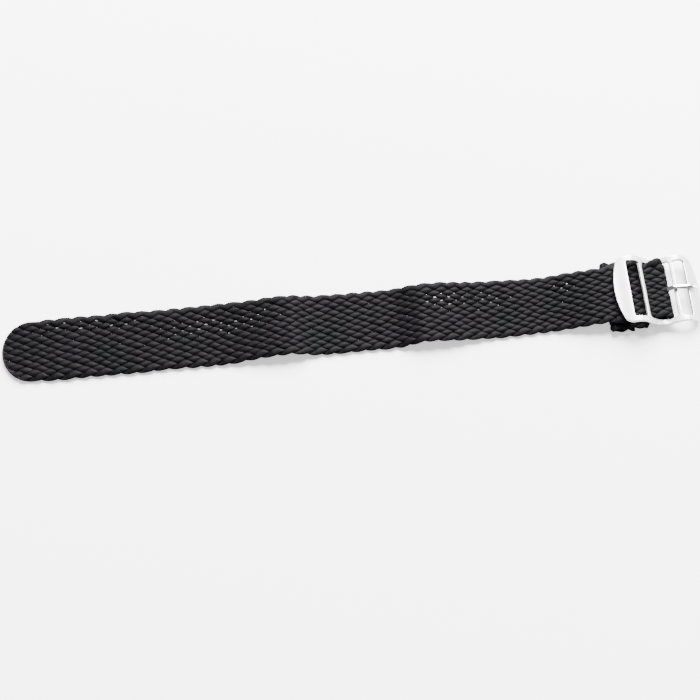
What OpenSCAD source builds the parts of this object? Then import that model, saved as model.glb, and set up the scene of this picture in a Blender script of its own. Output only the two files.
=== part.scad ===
// Braided nylon watch strap with a ladder buckle, laid flat with its outer face up.
// The origin lies on the table under the middle of the watch seat.
// +X runs to the buckle, +Y across the band and +Z out of the band's outer face.

/* [Band] */
// Width of the band where it fills the lug gap
band_w = 22; // [18:0.5:26]
// Thickness of the braid
band_t = 1.5; // [1.3:0.1:1.8]
// Length of the tail, from the middle of the seat to the sealed tip
tail_l = 121; // [112:1:130]
// Length of the rounded tip
tip_l = 10; // [6:0.5:14]
// How much narrower the band is inside the buckle
neck_taper = 1.4; // [0.4:0.2:3]
// Where the narrowing starts, from the middle of the seat
taper_x = 30; // [20:1:50]
// Gap left in each bend between two stretches of band
bend_gap = 0.1; // [0.05:0.05:0.2]

/* [Watch seat] */
// Distance between the two spring bars that the band passes over
lug_span = 47; // [42:1:50]
// Length of the flat seat under the watch
seat_l = 24; // [16:1:30]
// How far a spring bar lifts the band
hump_h = 2.6; // [1.6:0.1:3.4]
// Length over which the band comes back down outside a spring bar
hump_run = 26.5; // [20:0.5:28]

/* [Bends] */
// Length of each stretch of the tail
tail_pitch = 18; // [15:0.5:19]
// Length of each stretch on the buckle side
lead_pitch = 17; // [14:0.5:17.5]

/* [Fold] */
// Distance from the middle of the seat to the bar that the band folds round
bar_x = 106.5; // [103:0.1:112]
// Distance from that bar back to the turn of the hem
hem_reach = 20.4; // [18:0.1:22]
// Length of the ply that is tucked under at the hem
hem_l = 12; // [8:0.1:13]
// How far the hem spreads past the narrow band on each side
hem_spread = 1.9; // [0.5:0.1:2.4]
// Gap between plies that lie on each other
ply_gap = 0.1; // [0.05:0.05:0.2]
// Length over which the band climbs on to the hem
climb_l = 22; // [18:1:26]
// Width of the slit that the prong comes out of
slit_w = 2.4; // [2.2:0.1:3]
// How far the slit runs back behind the bar
slit_back = 2.4; // [2.3:0.1:3.2]

/* [Stitching] */
// Thickness of the sewing thread
thread_d = 0.4; // [0.2:0.05:0.5]
// Distance between two stitches
stitch_pitch = 2; // [1.5:0.1:3]
// Distance from the turn of the hem to the row of stitches
stitch_in = 5.6; // [3:0.1:7]

/* [Buckle frame] */
// Thickness of the stamped steel
steel_t = 1; // [0.8:0.05:1.2]
// Width of each side rail
rail_w = 2; // [1.5:0.1:2.5]
// Room between the band and a side rail
side_play = 0.3; // [0.2:0.05:0.6]
// Length of each curved end plate at its middle
plate_l = 5; // [4:0.1:7]
// Opening of the slot beside the plate that lies over the band
near_slot_w = 4.5; // [4:0.1:5.5]
// Opening of the slot beside the plate under the prong
far_slot_w = 3.6; // [3:0.1:4.5]
// Width of each flat crossbar
crossbar_w = 1.2; // [1:0.05:1.6]
// Opening of the middle window
window_l = 10.3; // [10:0.1:11.5]
// How far the end of each plate bows out
end_bow = 2.6; // [1.5:0.1:3.2]
// Radius of the frame's outer corners
corner_r = 2; // [1:0.1:3]
// Radius of the corners inside the slots and the window
slot_corner_r = 0.8; // [0.4:0.1:1.2]
// Height of the two waves of the frame
wave_h = 3.2; // [2.9:0.1:3.6]
// Extra rise at each end of the frame
end_rise = 0.75; // [0:0.05:1.2]
// Slope of the frame over the folded band, in degrees
frame_slope = 10; // [9:0.5:11]
// Radius of the round bar in the window
bar_r = 0.6; // [0.5:0.05:0.65]
// Distance of the round bar from the middle of the window
bar_c = 2; // [1.4:0.05:2.2]
// Room between the round bar and the band folded round it
bar_play = 0.1; // [0.05:0.05:0.2]

/* [Prong] */
// Width of the prong
prong_w = 1.6; // [1.2:0.1:1.8]
// Thickness of the prong
prong_t = 0.9; // [0.7:0.05:1]
// Thickness of the prong at its tip
prong_tip_t = 0.6; // [0.4:0.05:0.7]
// Wall of the prong's rolled eye
eye_wall = 0.5; // [0.4:0.05:0.55]
// Room between the eye and the round bar
eye_play = 0.05; // [0.03:0.01:0.08]
// Room between the prong at rest and the steel under it
rest_gap = 0.08; // [0.05:0.01:0.15]
// How far the prong stops short of the frame's end
prong_short = 1; // [0.6:0.1:2]

/* [Hidden] */

TAIL_STRETCHES = 5;
LEAD_STRETCHES = 3;
PATH_STEPS = 14;
CAP_STEPS = 10;
WAVE_STEPS = 48;
PLATE_STEPS = 4;
// How much farther off the prong stays where it turns over an edge of the steel.
EDGE_CLEAR = 1.15;
$fn = 48;

lug_x = lug_span / 2;
neck_w = band_w - neck_taper;
half_t = band_t / 2;

// Levels and places of the plies at the buckle.
main_z = 2 * (band_t + ply_gap);
fold_r = bar_r + bar_play;
bar_z = main_z - fold_r;
return_z_bar = bar_z - fold_r - half_t;
return_z_hem = 3 * half_t + ply_gap;
turn_r = band_t + ply_gap / 2;
hem_x = bar_x - hem_reach;
turn_x = hem_x + turn_r;
hem_end_x = hem_x + hem_l;
hem_w = neck_w + 2 * hem_spread;
stitch_x = hem_x + stitch_in;

// Places along the frame, measured out from the middle of its window.
slot_start = window_l / 2 + crossbar_w;
near_slot_end = slot_start + near_slot_w;
far_slot_end = slot_start + far_slot_w;
near_end = near_slot_end + plate_l;
far_end = far_slot_end + plate_l;
inner_w = neck_w + 2 * side_play;
frame_half_w = inner_w / 2 + rail_w;
cut_h = wave_h + end_rise + 2 * steel_t;

// Goes smoothly from 0 to 1 as u goes from 0 to 1.
function ease(u) = (1 - cos(180 * min(max(u, 0), 1))) / 2;

// Points of an arc about c.
function arc(c, r, from, to, n = 8) =
    [for (i = [0:n]) c + r * [cos(from + (to - from) * i / n), sin(from + (to - from) * i / n)]];

// Rise of the band over the spring bars, from 0 to 1.
function hump(x) =
    let (a = abs(x))
    a < lug_x ? ease((a - seat_l / 2) / (lug_x - seat_l / 2)) : 1 - ease((a - lug_x) / hump_run);

// Height of the middle of the braid along the band.
function mid_z(x) = half_t + hump_h * hump(x) + main_z * ease((x - hem_x + climb_l) / climb_l);

// Height of the middle of the ply that returns under the band.
function return_z(x) =
    return_z_bar + (return_z_hem - return_z_bar) * ease((bar_x - x) / (bar_x - hem_end_x));

// Middle line of the band between two places.
function band_path(from, to) =
    [for (i = [0:PATH_STEPS]) let (x = from + (to - from) * i / PATH_STEPS) [x, mid_z(x)]];

// Middle line of the returning ply, from the bar back to the turn of the hem.
function return_path() = [
    for (i = [1:PATH_STEPS])
    let (x = bar_x + (turn_x - bar_x) * i / PATH_STEPS)
    [x, return_z(x)]
];

// Direction of a line at its point i, and a point beside it at distance d.
function heading(p, i) =
    let (d = p[min(i + 1, len(p) - 1)] - p[max(i - 1, 0)])
    d / norm(d);
function beside(p, i, d) = p[i] + d * [-heading(p, i).y, heading(p, i).x];

// Half circle that closes a line at its last point, or at its first one.
function end_cap(p, r) =
    let (n = len(p) - 1, a = atan2(heading(p, n).y, heading(p, n).x))
    arc(p[n], r, a + 90, a - 90, CAP_STEPS);
function start_cap(p, r) =
    let (a = atan2(heading(p, 0).y, heading(p, 0).x))
    arc(p[0], r, a - 90, a - 270, CAP_STEPS);

// Outline of a strip that follows a line, with one half thickness for each point.
function ribbon(p, half, cap_start = false, cap_end = false) = concat(
    [for (i = [0:len(p) - 1]) beside(p, i, half[i])],
    cap_end ? end_cap(p, half[len(p) - 1]) : [],
    [for (i = [len(p) - 1:-1:0]) beside(p, i, -half[i])],
    cap_start ? start_cap(p, half[0]) : []
);
function even(p, t) = [for (point = p) t / 2];

// Outline of the band seen from above, with its elliptical tip.
function band_plan() = concat(
    [for (a = [90:7.5:270]) [tip_l - tail_l + tip_l * cos(a), band_w / 2 * sin(a)]],
    [[taper_x, -band_w / 2], [hem_x, -neck_w / 2], [bar_x + main_z, -neck_w / 2]],
    [[bar_x + main_z, neck_w / 2], [hem_x, neck_w / 2], [taper_x, band_w / 2]]
);

// Turns a side outline into a solid of width w across the band.
module side_solid(outline, w) {
    rotate([90, 0, 0])
        linear_extrude(w, center = true)
            polygon(outline);
}

// A side outline of the band, trimmed to the band's shape from above.
module band_solid(outline) {
    intersection() {
        side_solid(outline, band_w + 2);
        linear_extrude(main_z + hump_h + 2 * band_t)
            polygon(band_plan());
    }
}

// Hollow end of a stretch, in which the round end of the stretch before it turns.
module bend_socket(x) {
    translate([x, 0, mid_z(x)])
        rotate([90, 0, 0])
            cylinder(r = half_t + bend_gap, h = band_w + 4, center = true);
}

// One stretch of band from its socket to its round end.
module band_stretch(from, to, round_end = true) {
    path = band_path(from, to);
    difference() {
        band_solid(ribbon(path, even(path, band_t), cap_end = round_end));
        bend_socket(from);
    }
}

module band_centre() {
    path = band_path(-lug_x, lug_x);
    color([0.1, 0.1, 0.11])
        band_solid(ribbon(path, even(path, band_t), cap_start = true, cap_end = true));
}

module band_tail(i) {
    from = -lug_x - (i - 1) * tail_pitch;
    last = i == TAIL_STRETCHES;
    to = last ? -tail_l - 1 : from - tail_pitch;
    color([0.1, 0.1, 0.11])
        band_stretch(from, to, round_end = !last);
}

module band_lead(i) {
    from = lug_x + (i - 1) * lead_pitch;
    color([0.1, 0.1, 0.11])
        band_stretch(from, from + lead_pitch);
}

// The last stretch, folded round the bar and led back under itself to the hem.
module band_buckle_end() {
    from = lug_x + LEAD_STRETCHES * lead_pitch;
    fold = arc([bar_x, bar_z], fold_r + half_t, 90, -90, 2 * CAP_STEPS);
    inner = [for (p = band_path(from, bar_x)) if (p.x < bar_x - 0.01) p];
    path = concat(inner, fold, return_path());
    color([0.1, 0.1, 0.11])
        difference() {
            union() {
                band_solid(ribbon(path, even(path, band_t)));
                translate([turn_x, -hem_w / 2, band_t + ply_gap])
                    cube([hem_end_x - turn_x, hem_w, band_t]);
            }
            bend_socket(from);
            translate([bar_x - slit_back, -slit_w / 2, 0])
                cube([slit_back + fold_r + 2 * band_t, slit_w, main_z + 2 * band_t]);
        }
}

// The turn of the hem and the cut end tucked under it.
module band_hem() {
    outline = concat(
        arc([turn_x, turn_r], turn_r, 90, 270, 2 * CAP_STEPS),
        [[hem_end_x, 0], [hem_end_x, band_t], [turn_x, band_t]]
    );
    color([0.09, 0.09, 0.1])
        side_solid(outline, hem_w);
}

// A row of stitches through all three plies, drawn into the braid.
module fold_stitches() {
    thread_r = thread_d / 2;
    count = floor((neck_w - 4) / stitch_pitch);
    top = main_z + band_t;
    row_y = -count * stitch_pitch / 2;
    color([0.16, 0.16, 0.17]) {
        for (i = [0:count])
            translate([stitch_x, row_y + i * stitch_pitch, thread_d])
                cylinder(r = thread_r, h = top - thread_d);
        for (i = [0:2:count - 1])
            translate([stitch_x, row_y + i * stitch_pitch, top])
                stitch_run(thread_r);
        for (i = [1:2:count - 1])
            translate([stitch_x, row_y + i * stitch_pitch, thread_d])
                stitch_run(thread_r);
    }
}

// The part of a stitch that runs along the surface to the next needle hole.
module stitch_run(r) {
    translate([0, -r, 0])
        rotate([-90, 0, 0])
            cylinder(r = r, h = stitch_pitch + 2 * r);
}

// Height of the frame's middle along its length, before it is sloped. It peaks at each slot.
function wave(c) =
    let (
        peak = slot_start + (c < 0 ? near_slot_w : far_slot_w) / 2,
        end = c < 0 ? near_end : far_end
    )
    wave_h * (1 - cos(180 * c / peak)) / 2 + end_rise * pow(c / end, 2);

// A point at distance d above the middle of the frame's steel.
function on_frame(c, d) =
    let (step = 0.01, slope = (wave(c + step) - wave(c - step)) / (2 * step))
    [c, wave(c)] + d * [-slope, 1] / norm([slope, 1]);

// Outline of the frame from above at the end that lies at x = end_x, bowed with round corners.
function frame_end(end_x) =
    let (
        bow_r = (pow(frame_half_w, 2) + pow(end_bow, 2)) / (2 * end_bow),
        bow_x = end_x - bow_r,
        corner_y = frame_half_w - corner_r,
        corner_x = bow_x + sqrt(pow(bow_r - corner_r, 2) - pow(corner_y, 2)),
        a = atan2(corner_y, corner_x - bow_x)
    )
    concat(
        arc([corner_x, -corner_y], corner_r, -90, -a, 5),
        arc([bow_x, 0], bow_r, -a, a, 12),
        arc([corner_x, corner_y], corner_r, a, 90, 5)
    );
function frame_plan() = concat(frame_end(far_end), [for (p = frame_end(near_end)) -p]);

// Opening in the frame from c1 to c2, with round corners.
module frame_opening(c1, c2) {
    x = (c2 - c1) / 2 - slot_corner_r;
    y = inner_w / 2 - slot_corner_r;
    translate([(c1 + c2) / 2, 0])
        polygon(concat(
            arc([x, y], slot_corner_r, 0, 90, 4),
            arc([-x, y], slot_corner_r, 90, 180, 4),
            arc([-x, -y], slot_corner_r, 180, 270, 4),
            arc([x, -y], slot_corner_r, 270, 360, 4)
        ));
}

// Carries a piece from the frame's own lengths to its sloped place on the bar.
module on_bar() {
    translate([bar_x, 0, bar_z])
        rotate([0, frame_slope, 0])
            translate([-bar_c, 0, -wave(bar_c)])
                children();
}

// A rod across the frame, along the axis of the round bar.
module bar_rod(r, w) {
    translate([bar_c, 0, wave(bar_c)])
        rotate([90, 0, 0])
            cylinder(r = r, h = w, center = true);
}

module buckle_frame() {
    from = -near_end - 1;
    to = far_end + 1;
    path = [for (i = [0:WAVE_STEPS]) on_frame(from + (to - from) * i / WAVE_STEPS, 0)];
    color("gainsboro")
        on_bar() {
            intersection() {
                side_solid(ribbon(path, even(path, steel_t)), 2 * frame_half_w + 2);
                translate([0, 0, -steel_t])
                    linear_extrude(cut_h)
                        difference() {
                            polygon(frame_plan());
                            frame_opening(-window_l / 2, window_l / 2);
                            frame_opening(slot_start, far_slot_end);
                            frame_opening(-near_slot_end, -slot_start);
                        }
            }
            bar_rod(bar_r, inner_w + rail_w);
        }
}

// Rolled eye on the round bar, arm over the crossbar and tip on the end plate.
module prong() {
    eye_r = bar_r + eye_play + eye_wall;
    lift = steel_t / 2 + rest_gap + prong_t / 2;
    edge_lift = steel_t / 2 + EDGE_CLEAR * (rest_gap + prong_t / 2);
    tip_c = far_end - prong_short;
    root = [bar_c, wave(bar_c)];
    edges = [for (c = [window_l / 2, slot_start, far_slot_end]) on_frame(c, edge_lift)];
    plate_step = (tip_c - far_slot_end) / PLATE_STEPS;
    plate = [for (i = [1:PLATE_STEPS]) on_frame(far_slot_end + i * plate_step, lift)];
    out = (edges[0] - root) / norm(edges[0] - root);
    path = concat([root + (bar_r + eye_wall / 2) * out], edges, plate);
    last = len(path) - 1;
    half = [for (i = [0:last]) i == last ? prong_tip_t / 2 : prong_t / 2];
    color("silver")
        on_bar()
            difference() {
                union() {
                    bar_rod(eye_r, prong_w);
                    side_solid(ribbon(path, half, cap_end = true), prong_w);
                }
                bar_rod(bar_r + eye_play, prong_w + 2);
            }
}

band_centre();
band_tail(1);  // band_tail_1
band_tail(2);  // band_tail_2
band_tail(3);  // band_tail_3
band_tail(4);  // band_tail_4
band_tail(5);  // band_tail_5
band_lead(1);  // band_lead_1
band_lead(2);  // band_lead_2
band_lead(3);  // band_lead_3
band_buckle_end();
band_hem();
fold_stitches();
buckle_frame();
prong();
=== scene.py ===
"""Braided nylon watch strap with a steel ladder buckle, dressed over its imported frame.

Shapes are worked out in millimetres, as in the part's source, and become metres in new_piece().
"""
import math
from itertools import accumulate

import bmesh
import bpy
from bpy.props import FloatProperty, FloatVectorProperty, IntProperty, PointerProperty
from mathutils import Matrix, Quaternion, Vector, noise


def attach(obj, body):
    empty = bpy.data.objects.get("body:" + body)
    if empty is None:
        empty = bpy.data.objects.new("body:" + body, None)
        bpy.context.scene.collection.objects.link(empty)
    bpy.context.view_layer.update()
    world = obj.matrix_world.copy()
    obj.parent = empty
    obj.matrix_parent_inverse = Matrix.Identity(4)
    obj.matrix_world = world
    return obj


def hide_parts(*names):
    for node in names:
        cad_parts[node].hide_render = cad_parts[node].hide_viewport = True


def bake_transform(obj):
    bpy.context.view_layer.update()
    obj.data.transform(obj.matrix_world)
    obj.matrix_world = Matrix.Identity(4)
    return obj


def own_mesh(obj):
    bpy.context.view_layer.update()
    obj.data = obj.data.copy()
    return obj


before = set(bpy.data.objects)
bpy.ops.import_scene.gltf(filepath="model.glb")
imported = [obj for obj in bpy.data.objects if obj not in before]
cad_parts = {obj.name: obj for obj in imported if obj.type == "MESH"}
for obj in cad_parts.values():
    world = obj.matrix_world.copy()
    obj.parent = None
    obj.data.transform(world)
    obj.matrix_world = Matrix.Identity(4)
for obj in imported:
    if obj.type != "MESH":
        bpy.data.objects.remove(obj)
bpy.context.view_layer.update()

bl_info = {
    "name": "Braided Watch Strap",
    "version": (1, 0, 0),
    "blender": (4, 5, 0),
    "location": "View3D > Sidebar > Strap",
    "description": "Braided band, folded end, ladder buckle and prong of a watch strap",
    "category": "Object",
}

MM = 0.001
UNDO = {"REGISTER", "UNDO"}

# Band: sizes of the part's source, and the widths of the braid over it.
BAND_W, BAND_T = 22.0, 1.5
TAIL_L, TIP_L = 121.0, 10.0
TAIL_W, TAIL_W_X, TAIL_W_RUN = 22.6, -20.0, 30.0
NECK_W, TAPER_X = 20.4, 30.0
LUG_X, SEAT_L, HUMP_H, HUMP_RUN = 23.5, 24.0, 2.6, 26.5
TAIL_PITCH, LEAD_PITCH = 18.0, 17.0
BAR_X, BAR_Z, FOLD_R = 106.5, 2.5, 1.45
HEM_X, CLIMB_L, MAIN_Z = 86.1, 22.0, 3.2
TURN_X, TURN_Z, TURN_R = 87.65, 1.55, 0.8
HEM_END_X, HEM_W, HEM_WIDE_X, HEM_WIDE_RUN = 98.1, 25.2, 98.6, 2.0
HEM_CUT, RETURN_Z_BAR, RETURN_Z_HEM = 2.4, 1.05, 2.35
# How far the middle line runs on past the tip and the hem's cut end.
TIP_RUN_OUT, HEM_RUN_OUT = 12.0, 6.0
# The braid thins towards its tip: by what share, and over what length.
TIP_THIN, TIP_THIN_RUN = 0.25, 5.0

# Swells of the braid: where each starts along the band, its rise, its end and its fall.
SLOT_SWELL, SLOT_SWELL_W = (HEM_X, 5.0, 98.0, 2.0), 1.6
SIDE_SWELL, SIDE_STEP = (90.0, 4.0, 98.0, 2.5), 0.8
# The puff of the fold's upper edge, from the start of the fold, then across; sideways and out.
PUFF_SWELL, PUFF_Y, PUFF_Y_RUN = (-5.1, 3.4, -0.3, 2.2), 5.5, 5.0
PUFF_SIDE, PUFF_OUT = 1.35, 0.8

# Boxes that divide the fold: the prong's slit, the braid that fills it and the puffed edge.
ENDLESS = (-50.0, 50.0)
SLIT_BOX = ((BAR_X - 2.75, 150.0), (-1.0, 1.0), ENDLESS)
PLUG_BOX = ((BAR_X - 2.65, 150.0), (-0.97, 0.97), ENDLESS)
PLUG_FOOT = ((-50.0, BAR_X - 2.1), ENDLESS, (-50.0, BAR_Z - 0.3))
PUFF_BOX = ((101.0, 150.0), (9.4, 50.0), (2.4, 50.0))
# The plug leaves room for the prong between two angles, and reaches so far from the bar.
PRONG_GAP, PLUG_REACH = (14, 60), 3.2

# The melted bead: its angles, how far in, its half depth, its half height and that of its ends.
BEAD_FROM, BEAD_TO, BEAD_RINGS, BEAD_IN = 102, 258, 150, 0.3
BEAD_DEEP, BEAD_TALL, BEAD_END_TALL, BEAD_FADE = 0.3, 0.56, 0.2, 8
BEAD_DEEP_VARY, BEAD_TALL_VARY, BEAD_OUT_VARY = 0.09, 0.05, 0.08
# Directions, in degrees, of the flat cuts that round the tip.
TIP_CUTS = range(93, 270, 6)

# Stitches: the row's place and step, the thread's radius, its lowest point and its rise above the
# braid, the share of a pass in which it turns and how far it leans.
STITCH_X, STITCH_PITCH, STITCH_ROW = 91.7, 2.0, 16.0
THREAD_R, THREAD_LOW, THREAD_RISE = 0.2, 0.34, 0.02
THREAD_TURN, THREAD_LEAN = 0.06, 0.5

# Buckle: sizes of the part's source.
STEEL_T, RAIL_W, INNER_W = 1.0, 2.0, 21.2
WINDOW_L, SLOT_START = 10.3, 6.35
NEAR_SLOT_END, FAR_SLOT_END = 10.85, 9.95
NEAR_END, FAR_END = 15.85, 14.95
END_BOW, CORNER_R, SLOT_CORNER_R = 2.6, 2.0, 0.8
WAVE_H, END_RISE, FRAME_SLOPE = 3.2, 0.75, math.radians(10)
BAR_R, BAR_C = 0.6, 2.0
PRONG_W, PRONG_T, PRONG_TIP_T = 1.6, 0.9, 0.6
EYE_WALL, EYE_PLAY, REST_GAP, PRONG_SHORT = 0.5, 0.05, 0.08, 1.0
FRAME_HALF_W = INNER_W / 2 + RAIL_W
# Where the flat frame is divided so that it bends smoothly: from, to and steps.
FRAME_STEPS = (-15.75, 14.75, 61)
BOW_CUTS, RIM_ANGLE, BAR_RIM = 27, 1.0, 0.08
# The prong leaves the bar at an angle and steps up to the crossbar, each step so far back and down.
LEAVE, SHOULDER = math.radians(54), 2.6
EYE_START, EYE_END, EYE_STEPS = math.radians(388), math.radians(98), 26
CRANK = (Vector((1.45, 0.53)), Vector((0.7, 0.13)))
NOSE_SHARE, NOSE_DROP, TIP_DROP = 0.55, Vector((0, 0.25)), Vector((0, 0.9))
REST_EXTRA, PRONG_SLIM = 1.15, 0.28
# Rings over which the prong grows from its eye, slims to its tip and is rounded off.
GROW_BEFORE, GROW_RINGS, SLIM_RINGS, ROUND_RINGS, ROUND_SHARE = 4, 9, 15, 4, 0.94

# Stage, in metres: the lamps' names, places, widths and powers. The picture's middle lies so many
# pixels from the origin.
LAMPS = (("key", (0.2, 0.76, 0.68), 1.0, 148.0), ("fill", (0.95, 0.42, 0.34), 0.7, 18.0))
WORLD_LIGHT, FLOOR_GLOW, FLOOR_Z = 0.4, 0.75, -0.0001
VIEW_PIXELS, AIM_LEFT, AIM_DOWN = 700, 6, 27

# Where the braid is divided into pieces, half way between two bends.
TAIL_CUTS = (-12.0, -32.5, -50.5, -68.5, -86.5, -130.0)
LEAD_CUTS = (12.0, 32.0, 49.0, 66.0, 83.0)
# How far from its hinge a bend would reach; bend() works this out but does not use it.
TAIL_BEND, LEAD_BEND = 6.0, 5.5

# Braid: rings of a strand per half wave and per turn at an edge, its sides and filament bundles.
STRAND_RINGS, TURN_RINGS, STRAND_SIDES, BUNDLES, GROOVE = 6, 18, 24, 3, 0.06
# A strand's turn at an edge: how far in, its half width and half thickness, and its reach in rows.
TURN_IN, TURN_HALF_W, TURN_HALF_T, TURN_REACH = 0.55, 0.95, 0.46, 0.5
# How the pitch shrinks along the band, how flat its waves are, and more trips than it has.
PITCH_DRIFT, FLATNESS, TRIPS = 0.0034, 1.3, 6
# Unevenness: its rate along or from strand to strand, its rate across or further on, and a seed.
SWAY, DRIFT, OWN = (0.09, 0.16, 1.7), (0.08, 0.2, 5.1), (5.3, 0.4, 3.3)
LIFT, VARY = (3.1, 0.45, 8.2), (7.7, 0.45, 4.1)
RIPPLE, BEAD = (0.5, 0.3, 6.4), (0.21, 1.0, 2.2)
SWAY_Y, OWN_Y, RIPPLE_Y = 0.35, 0.32, 0.5
LIFT_SHARE, WIDTH_SHARE, SLACK_SHARE = 0.14, 0.08, 0.6
# Where light shows through the braid: place along and across, reach each way, and how loose.
LOOSE_PLACES = (
    (-92, 7.4, 21, 1.3, 0.25), (-51, 3.6, 19, 3.2, 0.2),
    (38, 4.6, 14, 3.2, 0.2), (72, 6.4, 4, 2, 0.2))
LOOSE_RIM = 1.6
# The fold is tighter, and the yarn's pattern shifts from strand to strand.
FOLD_FILL, UV_SHIFT = 0.05, 11.3
# Filament lines round a strand and a thread.
YARN_LINES, THREAD_LINES = 17.0, 3.0

# Points closer than WELD become one, and a point within ON_PLANE of a cut lies on it. Faces are cut
# within CUT_ROOM of a box, or short of TIP_ROOT. Edges across the sheet are straight within LEVEL.
WELD, CUT, ON_PLANE, LEVEL = 1e-5, 1e-6, 1e-3, 1e-4
CUT_ROOM, TIP_ROOT = 1, TIP_L - TAIL_L + 3


def ease(u):
    """Goes smoothly from 0 to 1 as u goes from 0 to 1."""
    return (1 - math.cos(math.pi * min(max(u, 0.0), 1.0))) / 2


def mix(a, b, share):
    """The value a share of the way from a to b."""
    return a + (b - a) * share


def hump(x):
    """Rise of the band over the two spring bars, from 0 to 1."""
    a = abs(x)
    if a < LUG_X:
        return ease((a - SEAT_L / 2) / (LUG_X - SEAT_L / 2))
    return 1 - ease((a - LUG_X) / HUMP_RUN)


def mid_z(x):
    """Height of the middle of the braid along the band."""
    return BAND_T / 2 + HUMP_H * hump(x) + MAIN_Z * ease((x - HEM_X + CLIMB_L) / CLIMB_L)


def return_z(x):
    """Height of the middle of the ply that returns under the band."""
    return mix(RETURN_Z_BAR, RETURN_Z_HEM, ease((BAR_X - x) / (BAR_X - HEM_END_X)))


def steps(low, high, count):
    """Even steps from low to high, both included."""
    return [mix(low, high, i / count) for i in range(count + 1)]


def swell(x, start, rise, end, fall):
    """Goes smoothly from 0 to 1 after the start, and back to 0 after the end."""
    return ease((x - start) / rise) * (1 - ease((x - end) / fall))


def uneven(kind, u, v):
    """Smooth unevenness of one kind, from -1 to 1."""
    return noise.noise(Vector((u * kind[0], v * kind[1], kind[2])))


def tip_edge(a, inset=0.0):
    """A point of the tip's half ellipse at angle a, or inside of it, and the direction outwards."""
    c, s = math.cos(a), math.sin(a)
    point = Vector((TIP_L - TAIL_L + (TIP_L - inset) * c, (BAND_W / 2 - inset) * s, 0))
    return point, Vector((c / TIP_L, s / (BAND_W / 2), 0)).normalized()


class BandLine:
    """Middle line of the band from the tail, round the bar and back to the hem's cut end."""

    STEP = 0.1

    def __init__(self):
        parts = [
            [(x, mid_z(x)) for x in steps(-TAIL_L - TIP_RUN_OUT, BAR_X, 1000)],
            [self.around(BAR_X, BAR_Z, FOLD_R, a) for a in steps(90, -90, 30)][1:],
            [(x, return_z(x)) for x in steps(BAR_X, TURN_X, 120)][1:],
            [self.around(TURN_X, TURN_Z, TURN_R, a) for a in steps(90, 270, 20)][1:],
            [(x, TURN_Z - TURN_R) for x in steps(TURN_X, HEM_END_X + HEM_RUN_OUT, 50)][1:],
        ]
        raw = [point for part in parts for point in part]
        run = [0.0]
        for (x0, z0), (x1, z1) in zip(raw, raw[1:]):
            run.append(run[-1] + math.hypot(x1 - x0, z1 - z0))
        zero = next(i for i, (x, _) in enumerate(raw) if x > 0)
        share = -raw[zero - 1][0] / (raw[zero][0] - raw[zero - 1][0])
        start = -mix(run[zero - 1], run[zero], share)
        ends = accumulate(len(part) for part in parts[:4])
        self.fold_s, self.back_s, self.turn_s, self.under_s = (run[end - 1] + start for end in ends)
        self.low, self.points = start, []
        at = 0
        for i in range(int(run[-1] / self.STEP)):
            while run[at + 1] < i * self.STEP:
                at += 1
            part = (i * self.STEP - run[at]) / (run[at + 1] - run[at])
            self.points.append(Vector(raw[at]).lerp(Vector(raw[at + 1]), part))

    @staticmethod
    def around(x, z, r, degrees):
        """A point on a circle about x and z."""
        a = math.radians(degrees)
        return x + r * math.cos(a), z + r * math.sin(a)

    def at(self, s):
        """The line's point at length s, and the direction out of the band's outer face there."""
        u = min(max((s - self.low) / self.STEP, 1.0), len(self.points) - 3.0)
        i = int(u)
        before, here, after, beyond = self.points[i - 1:i + 3]
        along = (after - before).lerp(beyond - here, u - i).normalized()
        return here.lerp(after, u - i), Vector((-along.y, along.x))

    def s_of(self, x):
        """Length along the main ply at place x."""
        return self.low + self.STEP * next(i for i, point in enumerate(self.points) if point.x >= x)

    def width(self, s):
        """Width of the braid, which narrows into the buckle and spreads at the hem."""
        x = self.at(s)[0].x
        if s < self.fold_s:
            full = mix(BAND_W, TAIL_W, ease((TAIL_W_X - x) / TAIL_W_RUN))
            narrow = min(max((x - TAPER_X) / (HEM_X - TAPER_X), 0.0), 1.0)
            return mix(full, NECK_W, narrow) + SLOT_SWELL_W * swell(x, *SLOT_SWELL)
        if s < self.back_s:
            return NECK_W
        if s < self.turn_s:
            return mix(HEM_W, NECK_W, ease((x - HEM_WIDE_X) / HEM_WIDE_RUN))
        return HEM_W

    def place(self, s, y, h):
        """Carries a point of the flat braid on to the band."""
        middle, out = self.at(s)
        near_tip = ease((TAIL_L - TIP_THIN_RUN + middle.x) / -TIP_THIN_RUN) if s < 0 else 0.0
        h *= 1 - TIP_THIN * near_tip
        y *= self.width(s) / BAND_W
        if s < self.fold_s:
            y += SIDE_STEP * swell(middle.x, *SIDE_SWELL)
        elif s > self.back_s:
            y += RIPPLE_Y * uneven(RIPPLE, s, y)
        puff = swell(s - self.fold_s, *PUFF_SWELL) * ease((y - PUFF_Y) / PUFF_Y_RUN)
        y, h = y + PUFF_SIDE * puff, h + PUFF_OUT * puff
        return Vector((middle.x + h * out.x, y, middle.y + h * out.y))


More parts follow.
